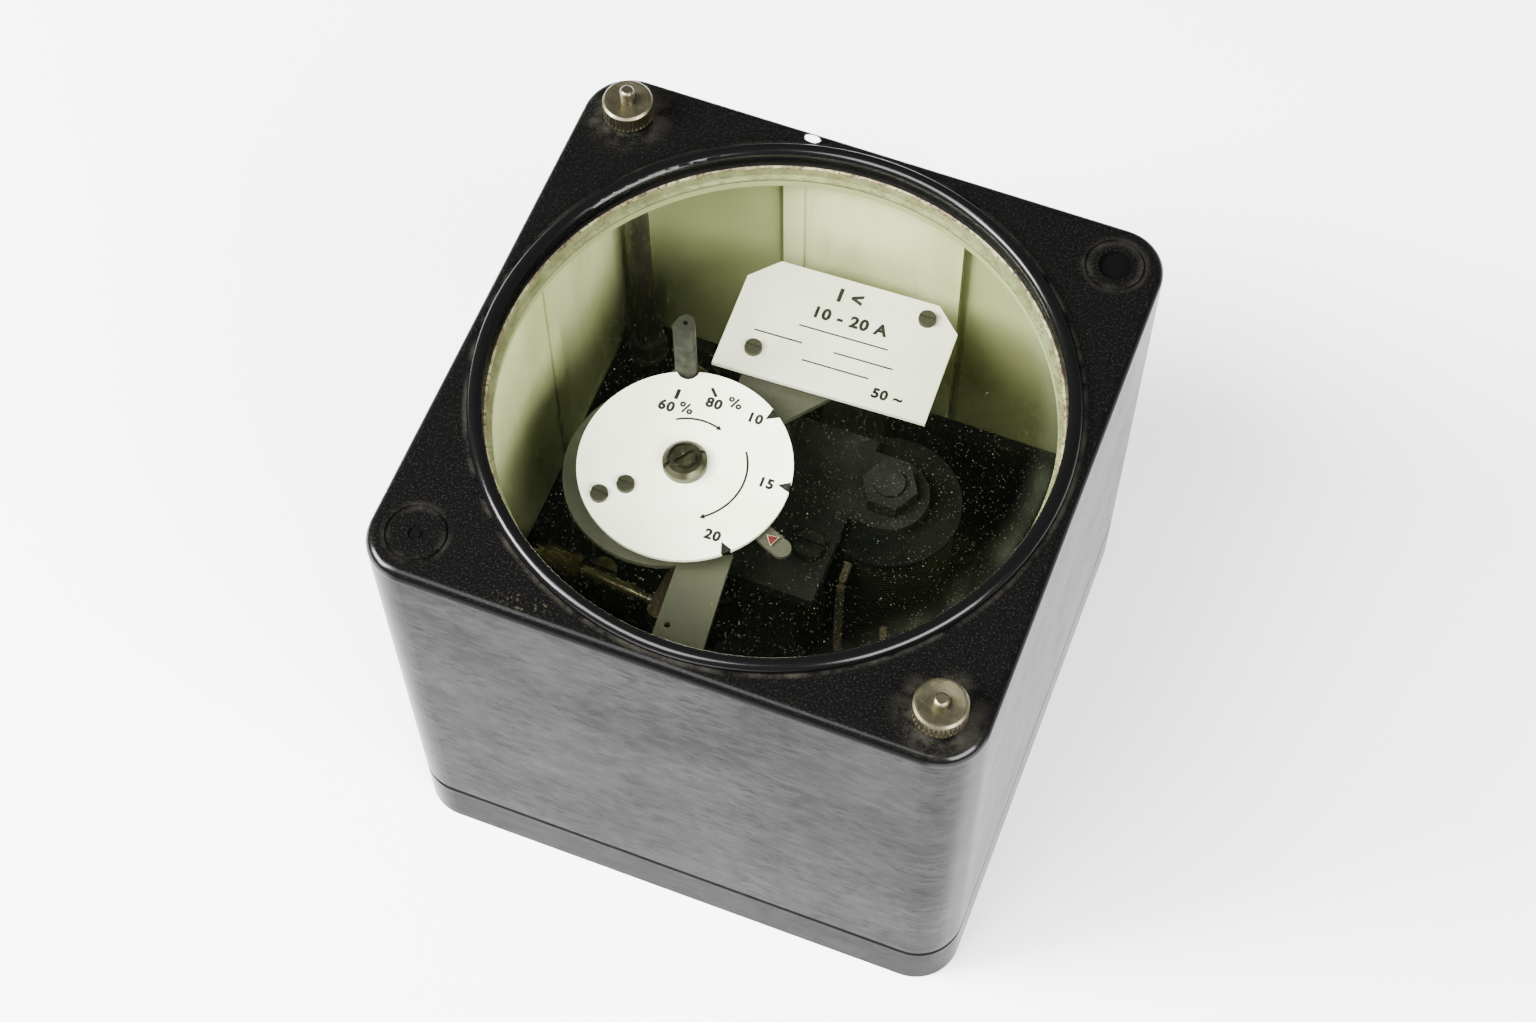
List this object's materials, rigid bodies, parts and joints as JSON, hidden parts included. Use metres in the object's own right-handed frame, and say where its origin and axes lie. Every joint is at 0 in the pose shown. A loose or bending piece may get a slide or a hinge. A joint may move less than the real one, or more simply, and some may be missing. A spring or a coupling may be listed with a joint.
{
  "type": "protection relay",
  "caption": "Square moulded case with a round glazed cover over a moving-iron current relay: setting dial and finger, drop-off spindle, coil, armature and contacts.",
  "frame": {"origin": "centre of the base's rear face, the face that lies on the panel or on a table", "axes": "+Z from the rear face towards the window, +Y towards the relay's top as its dial reads, +X to the reader's right"},
  "size_m": [0.152, 0.152, 0.151],
  "materials": {
    "moulded_black": "black phenolic moulding, worn gloss",
    "gasket": "dark felt or rubber seal",
    "brass": "turned, dulled",
    "nickel": "aged nickel plate",
    "grey_paint": "grey-green stoved paint",
    "white_enamel": "white enamel plate",
    "black_iron": "blacked soft iron",
    "paxolin": "brown laminated insulating board",
    "winding": "varnished cotton-covered winding",
    "lead_braid": "varnished cotton-braided lead",
    "silver": "fine silver contact",
    "spring_bronze": "phosphor-bronze strip",
    "glass": "clear window glass",
    "cement": "old yellowed glazing cement"
  },
  "bodies": {
    "relay_base": {"base": "moulded_black", "cover_gasket": "gasket", "terminal_bushes": "brass", "terminal_nuts": "brass", "lead_tags": "nickel", "cover_studs": "nickel", "stud_washers": "nickel", "stud_nuts": "nickel", "mechanism_frame": "grey_paint", "frame_screws": "nickel", "label_plate": "white_enamel", "label_pillars": "brass", "label_screws": "nickel", "dial_plate": "white_enamel", "dial_spacers": "brass", "dial_screws": "nickel", "pivot_bush": "brass", "pivot_screw": "nickel", "pivot_lock_nut": "nickel", "lower_bearing": "brass", "dropoff_bush": "brass", "upper_pole_plate": "black_iron", "lower_pole_plate": "black_iron", "magnet_feet": "brass", "magnet_screws": "nickel", "magnet_core": "black_iron", "core_nut": "nickel", "pole_pillar": "brass", "coil_bobbin": "paxolin", "coil_winding": "winding", "contact_block": "moulded_black", "contact_block_screws": "nickel", "contact_posts": "brass", "contact_screw": "nickel", "contact_lock_nut": "brass", "post_nut": "brass", "coil_leads": "lead_braid", "contact_leads": "lead_braid"},
    "armature": {"armature_spindle": "nickel", "armature_vane": "black_iron", "contact_arm": "paxolin", "moving_contact": "silver", "stop_arm": "brass", "balance_weight": "brass", "spring_collet": "brass"},
    "setting_finger": {"pointer_arm": "grey_paint", "spring_pin": "brass", "control_spring": "spring_bronze"},
    "dropoff_setting": {"dropoff_spindle": "nickel"},
    "cover_body": {"cover": "moulded_black", "window_glass": "glass", "glass_cement": "cement"},
    "upper_thumb_nut": {"thumb_nut_upper": "nickel"},
    "lower_thumb_nut": {"thumb_nut_lower": "nickel"}
  },
  "joints": [
    {"name": "cover_lift", "type": "slide", "parent": "relay_base", "child": "cover_body", "axis": [0, 0, 1], "range_m": [0, 0.16]},
    {"name": "upper_nut_turn", "type": "hinge", "parent": "cover_body", "child": "upper_thumb_nut", "pos_m": [-0.064, 0.064, 0.144], "axis": [0, 0, 1], "continuous": true},
    {"name": "lower_nut_turn", "type": "hinge", "parent": "cover_body", "child": "lower_thumb_nut", "pos_m": [0.064, -0.064, 0.144], "axis": [0, 0, 1], "continuous": true},
    {"name": "pickup_setting", "type": "hinge", "parent": "relay_base", "child": "setting_finger", "pos_m": [-0.0217, -0.0063, 0.101], "axis": [0, 0, 1], "range_deg": [-24, 77]},
    {"name": "dropoff_turn", "type": "hinge", "parent": "relay_base", "child": "dropoff_setting", "pos_m": [-0.0312, 0.0196, 0.1], "axis": [0, 0, 1], "range_deg": [-10, 135]},
    {"name": "armature_turn", "type": "hinge", "parent": "relay_base", "child": "armature", "pos_m": [-0.0217, -0.0063, 0.06], "axis": [0, 0, 1], "range_deg": [0, 12], "stiffness_Nm_per_rad": 0.002}
  ]
}
